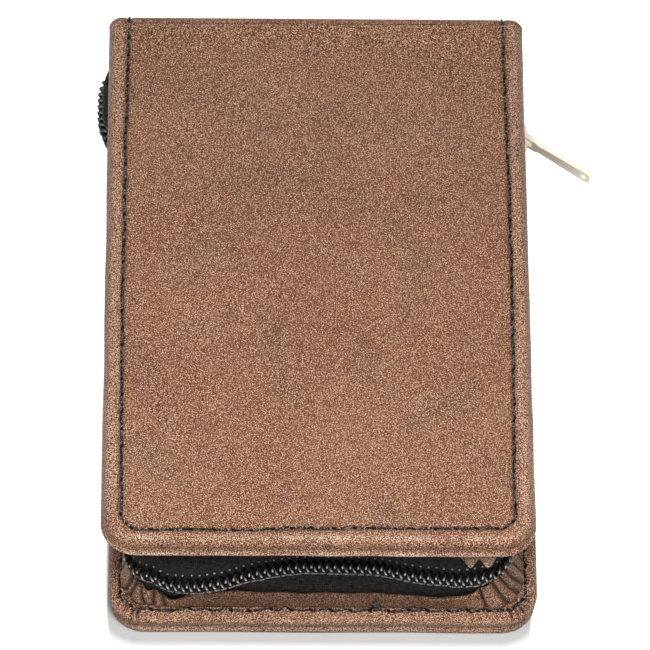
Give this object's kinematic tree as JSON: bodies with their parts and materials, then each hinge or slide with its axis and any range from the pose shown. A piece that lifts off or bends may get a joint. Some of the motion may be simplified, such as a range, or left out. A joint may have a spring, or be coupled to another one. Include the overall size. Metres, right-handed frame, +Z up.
{
  "type": "zip-around manicure case",
  "caption": "Slim zip-around manicure case in brown leatherette, opening flat like a book, with nail scissors, clippers, tweezers, file and cuticle pusher held by elastic bands.",
  "frame": {"origin": "middle of the back cover's flat underside, where the closed case rests", "axes": "+X to the slider's side, +Y towards the spine, +Z up through the closed case"},
  "size_m": [0.0898, 0.114, 0.03],
  "materials": {
    "brown_leather": "warm mid-brown leatherette, fine grain, matt",
    "backing_board": "grey board, raw",
    "padding_foam": "soft foam sheet",
    "black_lining": "dull black lining cloth",
    "zip_tape": "black woven tape",
    "zip_coil": "shiny black nylon",
    "black_elastic": "ribbed black elastic",
    "pale_gold": "pale gold plate, bright",
    "tool_steel": "polished nickel-plated steel",
    "file_grit": "fine cross-cut steel",
    "grip_plastic": "satin black plastic"
  },
  "bodies": {
    "back_cover": {"back_cover_leather": "brown_leather", "back_foam": "padding_foam", "back_board": "backing_board", "back_lining": "black_lining", "lower_side_strip": "brown_leather", "lower_zip_tape": "zip_tape", "lower_zip_coil": "zip_coil", "base_elastic_upper": "black_elastic", "base_elastic_lower": "black_elastic"},
    "spine": {"spine_leather": "brown_leather", "spine_stiffener": "backing_board", "spine_lining": "black_lining"},
    "front_cover": {"front_cover_leather": "brown_leather", "front_foam": "padding_foam", "front_board": "backing_board", "front_lining": "black_lining", "upper_side_strip": "brown_leather", "upper_zip_tape": "zip_tape", "upper_zip_coil": "zip_coil", "cover_elastic_upper": "black_elastic", "cover_elastic_lower": "black_elastic"},
    "slider": {"zip_slider": "pale_gold"},
    "pull": {"zip_pull": "pale_gold"},
    "scissors_a": {"scissors_half_a": "tool_steel", "scissors_screw": "tool_steel"},
    "scissors_b": {"scissors_half_b": "tool_steel"},
    "large_clipper": {"large_clipper_lower_arm": "tool_steel", "large_clipper_rivet": "tool_steel", "large_clipper_pin": "tool_steel"},
    "large_clipper_jaw": {"large_clipper_upper_arm": "tool_steel"},
    "large_clipper_handle": {"large_clipper_lever": "tool_steel"},
    "small_clipper": {"small_clipper_lower_arm": "tool_steel", "small_clipper_rivet": "tool_steel", "small_clipper_pin": "tool_steel"},
    "small_clipper_jaw": {"small_clipper_upper_arm": "tool_steel"},
    "small_clipper_handle": {"small_clipper_lever": "tool_steel"},
    "tweezers_a": {"tweezers_arm_a": "tool_steel"},
    "tweezers_b": {"tweezers_arm_b": "tool_steel"},
    "nail_file": {"nail_file_blade": "file_grit", "nail_file_grip": "grip_plastic"},
    "pusher": {"cuticle_pusher": "tool_steel"}
  },
  "joints": [
    {"name": "spine_fold", "type": "hinge", "parent": "back_cover", "child": "spine", "pos_m": [0, 0.05636, 0.00064], "axis": [-1, 0, 0], "range_deg": [0, 90]},
    {"name": "cover_fold", "type": "hinge", "parent": "spine", "child": "front_cover", "pos_m": [0, 0.05636, 0.02936], "axis": [-1, 0, 0], "range_deg": [0, 90]},
    {"name": "zip_slide", "type": "slide", "parent": "back_cover", "child": "slider", "axis": [0, -1, 0], "range_m": [-0.009, 0.08]},
    {"name": "pull_swing", "type": "hinge", "parent": "slider", "child": "pull", "pos_m": [0.0379, 0.04, 0.015], "axis": [0, 0, 1], "range_deg": [-23, 96]},
    {"name": "scissors_slide", "type": "slide", "parent": "back_cover", "child": "scissors_a", "axis": [0, -1, 0], "range_m": [0, 0.006]},
    {"name": "scissors_open", "type": "hinge", "parent": "scissors_a", "child": "scissors_b", "pos_m": [-0.0106, 0.015, 0.0084], "axis": [0, 0, 1], "range_deg": [0, 5]},
    {"name": "large_clipper_slide", "type": "slide", "parent": "back_cover", "child": "large_clipper", "axis": [0, -1, 0], "range_m": [0, 0.006]},
    {"name": "large_clipper_squeeze", "type": "hinge", "parent": "large_clipper", "child": "large_clipper_jaw", "pos_m": [0.0206, -0.03332, 0.00685], "axis": [-1, 0, 0], "range_deg": [0, 1.2], "stiffness_Nm_per_rad": 5},
    {"name": "large_clipper_lift", "type": "hinge", "parent": "large_clipper", "child": "large_clipper_handle", "pos_m": [0.0206, 0.03308, 0.0145], "axis": [-1, 0, 0], "range_deg": [0, 5.5]},
    {"name": "small_clipper_slide", "type": "slide", "parent": "front_cover", "child": "small_clipper", "axis": [0, -1, 0], "range_m": [0, 0.006]},
    {"name": "small_clipper_squeeze", "type": "hinge", "parent": "small_clipper", "child": "small_clipper_jaw", "pos_m": [-0.0236, -0.02464, 0.02355], "axis": [1, 0, 0], "range_deg": [0, 1.1], "stiffness_Nm_per_rad": 3},
    {"name": "small_clipper_lift", "type": "hinge", "parent": "small_clipper", "child": "small_clipper_handle", "pos_m": [-0.0236, 0.02316, 0.0184], "axis": [1, 0, 0], "range_deg": [0, 5]},
    {"name": "tweezers_slide", "type": "slide", "parent": "front_cover", "child": "tweezers_a", "axis": [0, -1, 0], "range_m": [0, 0.006]},
    {"name": "tweezers_squeeze", "type": "hinge", "parent": "tweezers_a", "child": "tweezers_b", "pos_m": [-0.011, -0.04, 0.0214], "axis": [1, 0, 0], "range_deg": [0, 1], "stiffness_Nm_per_rad": 2},
    {"name": "file_slide", "type": "slide", "parent": "front_cover", "child": "nail_file", "axis": [0, -1, 0], "range_m": [0, 0.006]},
    {"name": "pusher_slide", "type": "slide", "parent": "front_cover", "child": "pusher", "axis": [0, -1, 0], "range_m": [0, 0.006]}
  ],
  "couplings": [
    {"joint": "cover_fold", "follows": "spine_fold", "ratio": 1}
  ]
}
